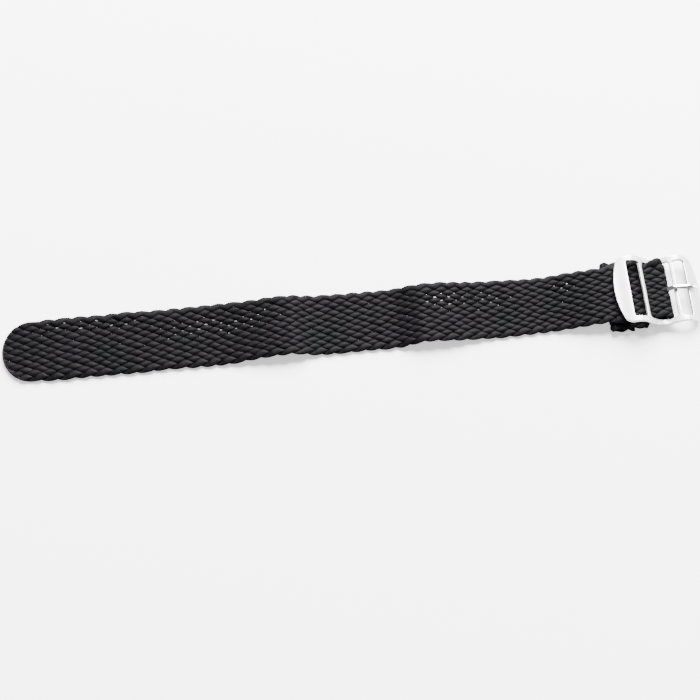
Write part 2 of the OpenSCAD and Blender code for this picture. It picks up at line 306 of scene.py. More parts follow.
class Braid:
    """A flat braid in which every strand goes over one and under one of the others."""

    def __init__(self, look):
        self.count = look.strands
        self.row_w = BAND_W / self.count
        self.waves = self.count - 1
        self.pitch = look.pitch / MM
        self.fill = look.fill
        self.half_t = look.strand_thickness / MM / 2
        self.lift = BAND_T / 2 - self.half_t

    def row(self, q):
        """Rows crossed since the edge after q half waves; strands cross at every whole row."""
        if q < 0.5:
            return 2 * q
        if q > self.waves - 0.5:
            return self.count - 2 * (self.waves - q)
        return q + 0.5

    def from_edge(self, q):
        """Rows from a strand's place to the nearer edge."""
        r = self.row(q % self.waves)
        return min(r, self.count - r)

    def edge(self, r):
        """How far a strand is held in by its turn at an edge, r rows away."""
        y = r * self.row_w
        return math.hypot(y, TURN_IN) - y

    def centre(self, strand, q):
        """Middle of a strand after q half waves, on the flat braid and before its height."""
        trips, w = divmod(q, 2 * self.waves)
        rising = w <= self.waves
        r = self.row(w if rising else 2 * self.waves - w)
        beat = (r if rising else 2 * self.count - r) / 2 + self.count * trips + strand
        s = self.pitch * (beat - PITCH_DRIFT * beat * beat / 2)
        y = (r - self.count / 2) * self.row_w + self.edge(r) - self.edge(self.count - r)
        sway, drift, own = uneven(SWAY, s, y), uneven(DRIFT, s, y), uneven(OWN, strand, q)
        own = OWN_Y * own * ease(min(r, self.count - r))
        return Vector((s + drift, y + SWAY_Y * sway + own, 0))

    def height(self, strand, q, aside):
        """Height of a strand at a place aside of its middle.

        Its dive follows the edge of the strand that it crosses.
        """
        slope = math.atan2(self.row_w, self.pitch / 2)
        lead = aside * (math.cos(slope) / (2 * self.row_w) - math.sin(slope) / self.pitch)
        lead *= ease(self.from_edge(q))
        if q % (2 * self.waves) > self.waves:
            lead = -lead
        wave = math.tanh(FLATNESS * math.sin(math.pi * (q + lead))) / math.tanh(FLATNESS)
        return self.lift * wave * (1 + LIFT_SHARE * uneven(LIFT, strand, q))

    def section(self, strand, q):
        """Half width and half thickness of a strand, which bunches up where it turns at an edge."""
        middle = self.centre(strand, q)
        step = self.pitch * (1 - PITCH_DRIFT * middle.x / self.pitch)
        spacing = step * self.row_w / math.hypot(step / 2, self.row_w)
        slack = max(
            most * ease(LOOSE_RIM - math.hypot((middle.x - x) / reach_x, (middle.y - y) / reach_y))
            for x, y, reach_x, reach_y, most in LOOSE_PLACES)
        vary = uneven(VARY, strand, q)
        half_w = spacing / 2 * self.fill * (1 - slack * (1 + SLACK_SHARE * vary))
        half_w *= 1 + WIDTH_SHARE * vary
        turn = math.exp(-(self.from_edge(q) / TURN_REACH) ** 2)
        return mix(half_w, TURN_HALF_W, turn), mix(self.half_t, TURN_HALF_T, turn)

    def runs(self, low, high):
        """Every strand's half waves whose middles lie from low to high along the band."""
        for strand in range(self.count):
            first = last = None
            for q in range(-TRIPS * self.waves, TRIPS * self.waves):
                if low <= self.centre(strand, q + 0.5).x < high:
                    first = q if first is None else first
                    last = q + 1
            if first is not None:
                yield strand, first, last

    def stops(self, first, last):
        """Places of a strand's rings, closer together where it turns at an edge."""
        for wave in range(first, last):
            count = TURN_RINGS if wave % self.waves in (0, self.waves - 1) else STRAND_RINGS
            yield from (wave + i / count for i in range(count))
        yield last


def tube(bm, rings, uv_at):
    """A tube through rings of points: a grid from its operator, rolled up."""
    uv = bm.loops.layers.uv.verify()
    length, sides = len(rings) - 1, len(rings[0])
    verts = bmesh.ops.create_grid(bm, x_segments=length, y_segments=sides, size=0.5)["verts"]
    places = {v: (round((v.co.x + 0.5) * length), round((v.co.y + 0.5) * sides)) for v in verts}
    for face in {f for v in verts for f in v.link_faces}:
        for loop in face.loops:
            ring, side = places[loop.vert]
            loop[uv].uv = uv_at(ring, side / sides)
    for v, (ring, side) in places.items():
        v.co = rings[ring][side % sides]


def close(bm, planes=()):
    """Welds the seams of tubes, fills their ends and turns every face outwards.

    An end that was cut along two of the given planes is divided where they meet.
    """
    bmesh.ops.remove_doubles(bm, verts=bm.verts, dist=WELD)
    rims = [e for e in bm.edges if e.is_boundary]
    caps = bmesh.ops.holes_fill(bm, edges=rims, sides=0)["faces"]
    for edge in rims:
        edge.smooth = False
    for cap in caps:
        corners = {}
        for v in cap.verts:
            cut_by = tuple(
                i for i, (co, no) in enumerate(planes) if abs((v.co - co).dot(no)) < ON_PLANE)
            if len(cut_by) > 1:
                corners.setdefault(cut_by, []).append(v)
        for pair in corners.values():
            if len(pair) == 2:
                bmesh.ops.connect_verts(bm, verts=pair)
    bmesh.ops.recalc_face_normals(bm, faces=bm.faces)
    for face in bm.faces:
        face.smooth = True


def bisect(bm, faces, co, no, clear_outer=False):
    """Cuts faces along a plane, and clears what lies beyond it if asked."""
    verts, edges = {v for f in faces for v in f.verts}, {e for f in faces for e in f.edges}
    bmesh.ops.bisect_plane(
        bm, geom=[*verts, *edges, *faces], dist=CUT, plane_co=co, plane_no=no,
        clear_outer=clear_outer)


def inside(point, box, margin=0):
    """Whether a point lies in a box or in its margin."""
    return all(low - margin < value < high + margin for value, (low, high) in zip(point, box))


def planes_of(box):
    """The planes of a box's sides, each as a point and a direction."""
    axes = [Vector(axis) for axis in ((1, 0, 0), (0, 1, 0), (0, 0, 1))]
    return [(at * axis, axis) for axis, sides in zip(axes, box) for at in sides]


def circle(sides):
    """Cosines and sines of even steps round a circle."""
    for i in range(sides):
        a = -2 * math.pi * i / sides
        yield math.cos(a), math.sin(a)


def oval(half_w, half_t, sides, power):
    """Points round an oval, from a circle at power 1 to a square at power 0."""
    return [
        (half_w * math.copysign(abs(c) ** power, c), half_t * math.copysign(abs(s) ** power, s))
        for c, s in circle(sides)]


def bundle(half_w, half_t):
    """Points round a strand: filament bundles with shallow grooves between them."""
    return [
        (half_w * c, half_t * s * (1 + GROOVE * math.cos(BUNDLES * math.pi * c)))
        for c, s in circle(STRAND_SIDES)]


def weave(bm, braid, line, low, high):
    """Lays every strand of the braid along one stretch of the band."""
    for strand, first, last in braid.runs(low, high):
        rings, travel = [], []
        for q in braid.stops(first, last):
            middle = braid.centre(strand, q)
            along = (braid.centre(strand, q + 0.02) - braid.centre(strand, q - 0.02)).normalized()
            across = Vector((-along.y, along.x, 0)).normalized()
            half_w, half_t = braid.section(strand, q)
            ring = []
            for a, b in bundle(half_w, half_t):
                point = middle + a * across
                ring.append(line.place(point.x, point.y, braid.height(strand, q, a) + b))
            rings.append(ring)
            travel.append(middle.x)
        tube(bm, rings, lambda ring, side: (travel[ring] + UV_SHIFT * strand, side))


def new_piece(name, bm, materials, replaces=()):
    """An object in metres from a mesh in millimetres, with its finish and what it stands for."""
    bmesh.ops.scale(bm, vec=(MM, MM, MM), verts=bm.verts)
    mesh = bpy.data.meshes.new(name)
    bm.to_mesh(mesh)
    bm.free()
    piece = bpy.data.objects.new(name, mesh)
    bpy.context.scene.collection.objects.link(piece)
    for material in materials:
        mesh.materials.append(material)
    if replaces:
        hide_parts(*replaces)
    return piece


class Value:
    """A shader socket that Python expressions can be written with."""

    def __init__(self, finish, socket):
        self.finish, self.socket = finish, socket

    def math(self, operation, *others):
        """A Math node of this value and the others."""
        values = dict(enumerate((self, *others)))
        return self.finish.node("Math", values, {"operation": operation})

    def __add__(self, other):
        return self.math("ADD", other)

    def __mul__(self, other):
        return self.math("MULTIPLY", other)

    def __sub__(self, other):
        return self.math("SUBTRACT", other)

    def __rsub__(self, other):
        return self.finish.node("Math", {0: other, 1: self}, {"operation": "SUBTRACT"})

    __radd__, __rmul__ = __add__, __mul__


class Finish:
    """A material that is built up from nodes."""

    def __init__(self, name):
        self.material = bpy.data.materials.new(name)
        self.material.use_nodes = True
        self.tree = self.material.node_tree
        self.tree.nodes.clear()

    def node(self, kind, values=None, settings=None, output=0):
        """Adds one node, with the values or links of its sockets and its settings."""
        node = self.tree.nodes.new("ShaderNode" + kind)
        for key, setting in (settings or {}).items():
            if key == "stops":
                ramp = node.color_ramp
                while len(ramp.elements) < len(setting):
                    ramp.elements.new(0.5)
                for element, (place, colour) in zip(ramp.elements, setting):
                    element.position, element.color = place, (*colour, 1)
            else:
                setattr(node, key, setting)
        for key, value in (values or {}).items():
            if isinstance(value, Value):
                self.tree.links.new(value.socket, node.inputs[key])
            else:
                node.inputs[key].default_value = value
        return Value(self, node.outputs[output])

    def shell(self, values):
        """Ends the material with a Principled shader."""
        self.end(self.node("BsdfPrincipled", values))
        return self.material

    def end(self, shader):
        """Links a shader to the material's output."""
        node = self.tree.nodes.new("ShaderNodeOutputMaterial")
        self.tree.links.new(shader.socket, node.inputs["Surface"])


# The Mix node's sockets for colours; others have the same names.
MIX_A, MIX_B, MIX_RESULT = 6, 7, 2


def nylon_finish(name, colour, warm, cool, filaments):
    """Black nylon yarn: filaments along each strand, a soft sheen and a faint change of hue."""
    finish = Finish(name)
    uv = finish.node("UVMap")
    along = finish.node("SeparateXYZ", {"Vector": uv}, output="X")
    around = finish.node("SeparateXYZ", {"Vector": uv}, output="Y")
    stretched = finish.node("CombineXYZ", {"X": along * 0.8, "Y": around * 9.0})
    drift = finish.node("TexNoise", {"Vector": stretched, "Scale": 1.0, "Detail": 2.0})
    thread = ((around * filaments + along * 0.35 + drift * 1.6) * (2 * math.pi)).math("SINE")
    drawn = finish.node("CombineXYZ", {"X": along * 2.2, "Y": around * 70.0})
    fine = finish.node("TexNoise", {"Vector": drawn, "Scale": 1.0, "Detail": 3.0})
    place = finish.node("TexCoord", output="Object")
    cloud = finish.node("TexNoise", {"Vector": place, "Scale": 95.0, "Detail": 2.0})
    tint = finish.node(
        "ValToRGB", {"Fac": cloud}, {"stops": [(0.36, cool), (0.5, colour), (0.64, warm)]})
    slow = finish.node("CombineXYZ", {"X": along * 0.33})
    patch = finish.node("TexNoise", {"Vector": slow, "Scale": 1.0, "Detail": 1.0})
    shade = thread * 0.13 + fine * 0.4 + patch * 1.04 - 0.04
    grey = finish.node("CombineColor", {0: shade, 1: shade, 2: shade})
    multiply = {"data_type": "RGBA", "blend_type": "MULTIPLY"}
    base = finish.node("Mix", {"Factor": 1.0, MIX_A: tint, MIX_B: grey}, multiply, MIX_RESULT)
    height = thread * 0.5 + fine * 0.9
    bump = finish.node("Bump", {"Strength": 0.5, "Distance": 0.00004, "Height": height})
    return finish.shell({
        "Base Color": base,
        "Roughness": fine * 0.3 + 0.36,
        "Specular IOR Level": 0.03,
        "Normal": bump,
    })


def melted_finish(colour):
    """Nylon that was melted along the cut: lumpy, with a dull gloss."""
    finish = Finish("melted_nylon")
    place = finish.node("TexCoord", output="Object")
    lumps = finish.node("TexNoise", {"Vector": place, "Scale": 900.0, "Detail": 4.0})
    dark = [c * 0.6 for c in colour]
    base = finish.node("ValToRGB", {"Fac": lumps}, {"stops": [(0.3, dark), (0.7, colour)]})
    bump = finish.node("Bump", {"Strength": 0.5, "Distance": 0.00012, "Height": lumps})
    return finish.shell({
        "Base Color": base,
        "Roughness": lumps * 0.3 + 0.4,
        "Specular IOR Level": 0.08,
        "Normal": bump,
    })


def steel_finish(name, colour, roughness, grain):
    """Bright steel with fine grinding lines across it and small marks of wear."""
    finish = Finish(name)
    place = finish.node("TexCoord", output="Object")
    turned = finish.node("Mapping", {"Vector": place, "Scale": (9000.0, 260.0, 9000.0)})
    lines = finish.node("TexNoise", {"Vector": turned, "Scale": 1.0, "Detail": 3.0})
    cloud = finish.node("TexNoise", {"Vector": place, "Scale": 240.0, "Detail": 3.0})
    marks = finish.node(
        "TexNoise", {"Vector": place, "Scale": 1500.0, "Detail": 2.0, "Distortion": 1.2})
    worn = finish.node("ValToRGB", {"Fac": marks}, {"stops": [(0.62, (0, 0, 0)), (0.7, (1, 1, 1))]})
    worn = finish.node("SeparateColor", {0: worn})
    dark = [c * 0.9 for c in colour]
    base = finish.node("ValToRGB", {"Fac": cloud}, {"stops": [(0.3, dark), (0.7, colour)]})
    height = lines + worn * 0.3
    bump = finish.node("Bump", {"Strength": grain, "Distance": 0.00001, "Height": height})
    uneven_gloss = lines * (roughness * 0.5) + cloud * (roughness * 0.4)
    return finish.shell({
        "Base Color": base,
        "Metallic": 1.0,
        "Roughness": uneven_gloss + worn * 0.08 + roughness * 0.55,
        "Normal": bump,
    })


class STRAP_PG_band(bpy.types.PropertyGroup):
    """Sizes and colours of the braid."""

    strands: IntProperty(
        name="Strands", description="Number of strands in the braid", default=16, min=8, max=32)
    pitch: FloatProperty(
        name="Pitch", description="Length along the band from one turn at an edge to the next",
        default=0.0051, min=0.003, max=0.008, unit="LENGTH", precision=4)
    fill: FloatProperty(
        name="Fill", description="Width of a strand as a share of its room", subtype="FACTOR",
        default=1.03, min=0.7, soft_max=1.1)
    strand_thickness: FloatProperty(
        name="Strand thickness", description="Thickness of one strand", default=0.00076,
        unit="LENGTH", precision=5)
    colour: FloatVectorProperty(
        name="Colour", description="Colour of the nylon", subtype="COLOR",
        default=(0.0030, 0.0025, 0.0033))
    warm: FloatVectorProperty(
        name="Warm tint", description="Where the dye leans to purple", subtype="COLOR",
        default=(0.0037, 0.0026, 0.0040))
    cool: FloatVectorProperty(
        name="Cool tint", description="Where the dye leans to green", subtype="COLOR",
        default=(0.0024, 0.0026, 0.0028))


class STRAP_PG_buckle(bpy.types.PropertyGroup):
    """Sizes and colours of the buckle and its prong."""

    edge_radius: FloatProperty(
        name="Edge radius", description="Rounding of the stamped edges", default=0.00024,
        unit="LENGTH", precision=5)
    colour: FloatVectorProperty(
        name="Steel colour", description="Colour of the steel", subtype="COLOR",
        default=(0.54, 0.54, 0.53))
    satin: FloatProperty(
        name="Satin", description="Roughness of the flat faces", subtype="FACTOR",
        default=0.42, min=0.05, max=0.6)
    # Painted shade: the flat faces' steel colour is darkened by this share, so they show greyer
    # than the polished edges under the same light.
    satin_painted_shade: FloatProperty(
        name="Satin shade", description="Brightness of the flat faces", subtype="FACTOR",
        default=0.75, min=0.3, max=1.0)
    polish: FloatProperty(
        name="Polish", description="Roughness of the edges and the prong", subtype="FACTOR",
        default=0.11, min=0.03, max=0.5)


class STRAP_PG_stage(bpy.types.PropertyGroup):
    """Camera, light and floor."""

    azimuth: FloatProperty(
        name="Azimuth", description="Turn of the camera round the strap", subtype="ANGLE",
        default=math.radians(-5.8))
    elevation: FloatProperty(
        name="Elevation", description="Height of the camera above the floor", subtype="ANGLE",
        default=math.radians(65))
    distance: FloatProperty(
        name="Distance", description="From the camera to the strap", default=0.6, unit="LENGTH")
    view_width: FloatProperty(
        name="View width", description="Width that the camera sees", default=0.2405, unit="LENGTH",
        precision=4)
    light: FloatProperty(
        name="Light", description="Strength of all the light", subtype="FACTOR",
        default=1.0, min=0.0, soft_max=2.0)
    floor: FloatVectorProperty(
        name="Floor colour", description="Colour of the floor", subtype="COLOR",
        default=(0.9, 0.9, 0.9))


class STRAP_OT_band(bpy.types.Operator):
    """Braid the band from its tip to the foot of the fold, in pieces that each cross one bend"""

    bl_idname = "strap.band"
    bl_label = "Braided Band"
    bl_options = UNDO

    def execute(self, context):
        look = context.scene.strap_band
        braid, line = Braid(look), BandLine()
        nylon = [nylon_finish("black_nylon", look.colour, look.warm, look.cool, YARN_LINES)]
        bm = bmesh.new()
        weave(bm, braid, line, line.s_of(TAIL_CUTS[0]), line.s_of(LEAD_CUTS[0]))
        close(bm)
        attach(new_piece("braid_seat", bm, nylon, ["band_centre"]), "centre")
        for i in range(1, len(TAIL_CUTS)):
            bm = bmesh.new()
            weave(bm, braid, line, line.s_of(TAIL_CUTS[i]), line.s_of(TAIL_CUTS[i - 1]))
            if i == len(TAIL_CUTS) - 1:
                self.trim_tip(bm)
            close(bm)
            piece = new_piece(f"braid_tail_{i}", bm, nylon, [f"band_tail_{i}"])
            hinge = -LUG_X - (i - 1) * TAIL_PITCH
            self.bend(piece, f"tail_{i - 1}" if i > 1 else "centre", f"tail_{i}", hinge, -TAIL_BEND)
        bodies = ("centre", "lead_1", "lead_2", "lead_3", "buckle_end")
        for i in range(1, len(LEAD_CUTS)):
            bm = bmesh.new()
            weave(bm, braid, line, line.s_of(LEAD_CUTS[i - 1]), line.s_of(LEAD_CUTS[i]))
            close(bm)
            stands_for = [f"band_lead_{i}"] if i < 4 else []
            piece = new_piece(f"braid_lead_{i}", bm, nylon, stands_for)
            self.bend(piece, bodies[i - 1], bodies[i], LUG_X + (i - 1) * LEAD_PITCH, LEAD_BEND)
        return {"FINISHED"}

    @staticmethod
    def bend(piece, near, far, hinge, reach):
        """Bakes a piece's placement into its mesh; the reach each side of the hinge is worked out
        but the piece is not bent.
        """
        z = mid_z(hinge)
        start, end = ((hinge - reach) * MM, 0, z * MM), ((hinge + reach) * MM, 0, z * MM)
        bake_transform(piece)

    @staticmethod
    def trim_tip(bm):
        """Trims the tail to its elliptical tip."""
        bmesh.ops.remove_doubles(bm, verts=bm.verts, dist=WELD)
        for angle in TIP_CUTS:
            co, no = tip_edge(math.radians(angle))
            faces = [f for f in bm.faces if f.calc_center_median().x < TIP_ROOT]
            bisect(bm, faces, co, no, clear_outer=True)


class STRAP_OT_tip(bpy.types.Operator):
    """Run the melted bead round the cut tip of the tail"""

    bl_idname = "strap.tip"
    bl_label = "Sealed Tip"
    bl_options = UNDO

    def execute(self, context):
        rings = []
        for i in range(BEAD_RINGS + 1):
            middle, out = tip_edge(math.radians(mix(BEAD_FROM, BEAD_TO, i / BEAD_RINGS)), BEAD_IN)
            rough = uneven(BEAD, i, 0.4)
            middle += Vector((0, 0, BAND_T / 2)) + BEAD_OUT_VARY * rough * out
            fade = min(1.0, i / BEAD_FADE, (BEAD_RINGS - i) / BEAD_FADE)
            deep = BEAD_DEEP + BEAD_DEEP_VARY * rough
            tall = mix(BEAD_END_TALL, BEAD_TALL, ease(fade)) + BEAD_TALL_VARY * rough
            section = oval(deep, tall, sides=12, power=0.8)
            rings.append([middle + a * out + Vector((0, 0, b)) for a, b in section])
        bm = bmesh.new()
        tube(bm, rings, lambda ring, side: (ring * 0.2, side))
        close(bm)
        melted = melted_finish([c * 0.7 for c in context.scene.strap_band.colour])
        bead = new_piece("sealed_tip", bm, [melted])
        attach(bead, "tail_5")
        return {"FINISHED"}


class STRAP_OT_fold(bpy.types.Operator):
    """Fold the braid round the bar and under itself, with strands that give way to the prong"""

    bl_idname = "strap.fold"
    bl_label = "Folded End"
    bl_options = UNDO

    def execute(self, context):
        look = context.scene.strap_band
        braid, line = Braid(look), BandLine()
        braid.fill += FOLD_FILL
        nylon = [nylon_finish("folded_nylon", look.colour, look.warm, look.cool, YARN_LINES)]
        end = line.under_s + HEM_END_X - TURN_X - HEM_CUT
        fold = bmesh.new()
        weave(fold, braid, line, line.s_of(LEAD_CUTS[-1]), end)
        bmesh.ops.remove_doubles(fold, verts=fold.verts, dist=WELD)
        edge, plug = fold.copy(), fold.copy()
        self.carve(fold, SLIT_BOX, False)
        self.carve(fold, PUFF_BOX, False)
        close(fold, planes_of(SLIT_BOX) + planes_of(PUFF_BOX))
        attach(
            new_piece("braid_fold", fold, nylon, ["band_buckle_end", "band_hem"]),
            "buckle_end")

        self.carve(edge, PUFF_BOX, True)
        close(edge, planes_of(PUFF_BOX))
        puff = new_piece("braid_fold_edge", edge, nylon)
        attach(puff, "buckle_end")
        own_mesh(puff)

        self.carve(plug, PLUG_BOX, True)
        self.carve(plug, PLUG_FOOT, False)
        planes = planes_of(PLUG_BOX) + planes_of(PLUG_FOOT)
        for degrees in PRONG_GAP:
            a = math.radians(degrees)
            planes.append((Vector((BAR_X, 0, BAR_Z)), Vector((-math.sin(a), 0, math.cos(a)))))
            bisect(plug, plug.faces[:], *planes[-1])
        gone = []
        for face in plug.faces:
            middle = face.calc_center_median()
            angle = math.degrees(math.atan2(middle.z - BAR_Z, middle.x - BAR_X))
            if PRONG_GAP[0] < angle < PRONG_GAP[1]:
                gone.append(face)
        bmesh.ops.delete(plug, geom=gone, context="FACES")
        close(plug, planes)
        for v in plug.verts:
            reach = math.hypot(v.co.x - BAR_X, v.co.z - BAR_Z)
            if reach > PLUG_REACH:
                v.co.x = BAR_X + (v.co.x - BAR_X) * PLUG_REACH / reach
                v.co.z = BAR_Z + (v.co.z - BAR_Z) * PLUG_REACH / reach
        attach(new_piece("braid_at_prong", plug, nylon), "prong")
        return {"FINISHED"}

    @staticmethod
    def carve(bm, box, keep):
        """Cuts the braid along the sides of a box, and keeps what lies inside it or outside."""
        for co, no in planes_of(box):
            near = [
                f for f in bm.faces if inside(f.calc_center_median(), box, CUT_ROOM)
                and abs((f.calc_center_median() - co).dot(no)) < CUT_ROOM]
            if near:
                bisect(bm, near, co, no)
        gone = [f for f in bm.faces if inside(f.calc_center_median(), box) != keep]
        bmesh.ops.delete(bm, geom=gone, context="FACES")


class STRAP_OT_stitches(bpy.types.Operator):
    """Sew the three plies together with one running thread"""

    bl_idname = "strap.stitches"
    bl_label = "Fold Stitches"
    bl_options = UNDO

    def execute(self, context):
        look = context.scene.strap_band
        top, bottom = MAIN_Z + BAND_T + THREAD_RISE, THREAD_LOW
        knots, level = [], top
        for i in range(int(STITCH_ROW / STITCH_PITCH) + 1):
            y = -STITCH_ROW / 2 + i * STITCH_PITCH
            other = bottom if level == top else top
            if i == 0:
                knots.append(Vector((STITCH_X, y, other)))
            for share in (0.0, THREAD_TURN, 1 - THREAD_TURN, 1.0):
                lean = THREAD_LEAN * (share - 0.5)
                knots.append(Vector((STITCH_X, y + lean, mix(other, level, share))))
            level = other
        path = smooth_path(knots, cuts=4)
        rings = []
        for i, middle in enumerate(path):
            side = Vector((1, 0, 0))
            up = heading(path, i).cross(side).normalized()
            section = oval(THREAD_R, THREAD_R, sides=8, power=1)
            rings.append([middle + a * side + b * up for a, b in section])
        bm = bmesh.new()
        tube(bm, rings, lambda ring, side: (ring * 0.25, side))
        close(bm)
        colour = [c * 1.3 for c in look.colour]
        thread = nylon_finish("sewing_thread", colour, look.warm, look.cool, THREAD_LINES)
        piece = new_piece("sewing_thread", bm, [thread], ["fold_stitches"])
        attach(piece, "buckle_end")
        return {"FINISHED"}


def smooth_path(knots, cuts):
    """A curve through the knots, with cuts points from each to the next."""
    path = []
    for i in range(len(knots) - 1):
        a, b = knots[max(i - 1, 0)], knots[i]
        c, d = knots[i + 1], knots[min(i + 2, len(knots) - 1)]
        for step in range(cuts):
            t = step / cuts
            second, third = 2 * a - 5 * b + 4 * c - d, 3 * b - a - 3 * c + d
            path.append(0.5 * (2 * b + (c - a) * t + second * t * t + third * t ** 3))
    return path + [knots[-1]]


def heading(path, i):
    """Direction of a path at one of its points."""
    return (path[min(i + 1, len(path) - 1)] - path[max(i - 1, 0)]).normalized()


def wave(c):
    """Height of the frame's middle along its length, before its slope."""
    peak = SLOT_START + ((NEAR_SLOT_END if c < 0 else FAR_SLOT_END) - SLOT_START) / 2
    end = NEAR_END if c < 0 else FAR_END
    return WAVE_H * (1 - math.cos(math.pi * c / peak)) / 2 + END_RISE * (c / end) ** 2


def on_frame(c, d):
    """A point at distance d above the middle of the frame's steel."""
    slope = (wave(c + 0.01) - wave(c - 0.01)) / 0.02
    return Vector((c, wave(c))) + d * Vector((-slope, 1)).normalized()


def on_bar(point, y):
    """Carries a point from the frame's own lengths to its sloped place on the bar."""
    x, z = point.x - BAR_C, point.y - wave(BAR_C)
    c, s = math.cos(FRAME_SLOPE), math.sin(FRAME_SLOPE)
    return Vector((BAR_X + x * c + z * s, y, BAR_Z - x * s + z * c))


def panel(bm, low, high, half_w, radius):
    """A flat rectangle with round corners, as edges only."""
    verts = bmesh.ops.create_grid(bm, x_segments=1, y_segments=1, size=0.5)["verts"]
    bmesh.ops.scale(bm, vec=(high - low, 2 * half_w, 1), verts=verts)
    bmesh.ops.translate(bm, vec=((low + high) / 2, 0, 0), verts=verts)
    bmesh.ops.bevel(
        bm, geom=verts, offset=radius, segments=6, profile=0.5, affect="VERTICES", material=-1)
    bmesh.ops.delete(bm, geom=bm.faces[:], context="FACES_ONLY")


class STRAP_OT_frame(bpy.types.Operator):
    """Stamp the ladder frame, bend it to its wave and set the round bar in it"""

    bl_idname = "strap.frame"
    bl_label = "Buckle Frame"
    bl_options = UNDO

    def execute(self, context):
        look = context.scene.strap_buckle
        bm = self.blank()
        flat = bm.faces[:]
        bmesh.ops.translate(bm, vec=(0, 0, -STEEL_T / 2), verts=bm.verts)
        raised = bmesh.ops.extrude_face_region(bm, geom=flat)["geom"]
        top = [v for v in raised if isinstance(v, bmesh.types.BMVert)]
        bmesh.ops.translate(bm, vec=(0, 0, STEEL_T), verts=top)
        bmesh.ops.recalc_face_normals(bm, faces=bm.faces)
        rims = [e for e in bm.edges if e.is_manifold and e.calc_face_angle() > RIM_ANGLE]
        edge = bmesh.ops.bevel(
            bm, geom=rims, offset=look.edge_radius / MM, segments=4, profile=0.5, affect="EDGES",
            material=-1)
        for face in edge["faces"]:
            face.material_index = 1
        for at in steps(*FRAME_STEPS):
            self.split(bm, at)
        for v in bm.verts:
            v.co = on_bar(on_frame(v.co.x, v.co.z), v.co.y)
        self.bar(bm)
        bmesh.ops.recalc_face_normals(bm, faces=bm.faces)
        for face in bm.faces:
            face.smooth = True
        # Painted shade: the flat faces get a darker copy of the steel colour, and the polished
        # edges keep the full colour.
        shaded = [c * look.satin_painted_shade for c in look.colour]
        finishes = [
            steel_finish("satin_steel_painted_shade", shaded, look.satin, grain=0.35),
            steel_finish("polished_edge", look.colour, look.polish, grain=0.12),
        ]
        piece = new_piece("ladder_frame", bm, finishes, ["buckle_frame"])
        weighted = piece.modifiers.new("weighted normals", "WEIGHTED_NORMAL")
        weighted.mode, weighted.keep_sharp = "FACE_AREA", True
        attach(piece, "frame")
        return {"FINISHED"}

    @staticmethod
    def split(bm, at):
        """Divides the sheet across, at one place along it."""
        geom = bm.verts[:] + bm.edges[:] + bm.faces[:]
        bmesh.ops.bisect_plane(bm, geom=geom, dist=WELD, plane_co=(at, 0, 0), plane_no=(1, 0, 0))

    def blank(self):
        """The flat sheet with its bowed ends and three openings."""
        bm = bmesh.new()
        panel(bm, END_BOW - NEAR_END, FAR_END - END_BOW, FRAME_HALF_W, CORNER_R)
        ends = [e for e in bm.edges if abs(e.verts[0].co.x - e.verts[1].co.x) < WELD]
        bmesh.ops.subdivide_edges(bm, edges=ends, cuts=BOW_CUTS)
        radius = (FRAME_HALF_W ** 2 + END_BOW ** 2) / (2 * END_BOW)
        for v in bm.verts:
            bow = math.sqrt(radius ** 2 - v.co.y ** 2) - radius + END_BOW
            v.co.x += math.copysign(bow, v.co.x)
        window = (-WINDOW_L / 2, WINDOW_L / 2)
        near_slot, far_slot = (-NEAR_SLOT_END, -SLOT_START), (SLOT_START, FAR_SLOT_END)
        for low, high in (window, far_slot, near_slot):
            panel(bm, low, high, INNER_W / 2, SLOT_CORNER_R)
        bmesh.ops.triangle_fill(bm, use_beauty=True, edges=bm.edges[:])
        for low, high in (near_slot, window, far_slot):
            self.split(bm, (low + high) / 2)
        spare = [
            e for e in bm.edges
            if len(e.link_faces) == 2 and abs(e.verts[0].co.x - e.verts[1].co.x) > LEVEL]
        bmesh.ops.dissolve_edges(bm, edges=spare, use_verts=False)
        return bm

    @staticmethod
    def bar(bm):
        """The round bar, set half way into both rails."""
        middle = on_bar(Vector((BAR_C, wave(BAR_C))), 0)
        matrix = Matrix.Translation(middle) @ Matrix.Rotation(math.pi / 2, 4, "X")
        made = bmesh.ops.create_cone(
            bm, cap_ends=True, segments=28, radius1=BAR_R, radius2=BAR_R, depth=INNER_W + RAIL_W,
            matrix=matrix)
        edges = {e for v in made["verts"] for e in v.link_edges}
        rims = [e for e in edges if abs(e.verts[0].co.y - e.verts[1].co.y) < WELD]
        bmesh.ops.bevel(
            bm, geom=rims, offset=BAR_RIM, segments=2, profile=0.5, affect="EDGES", material=-1)


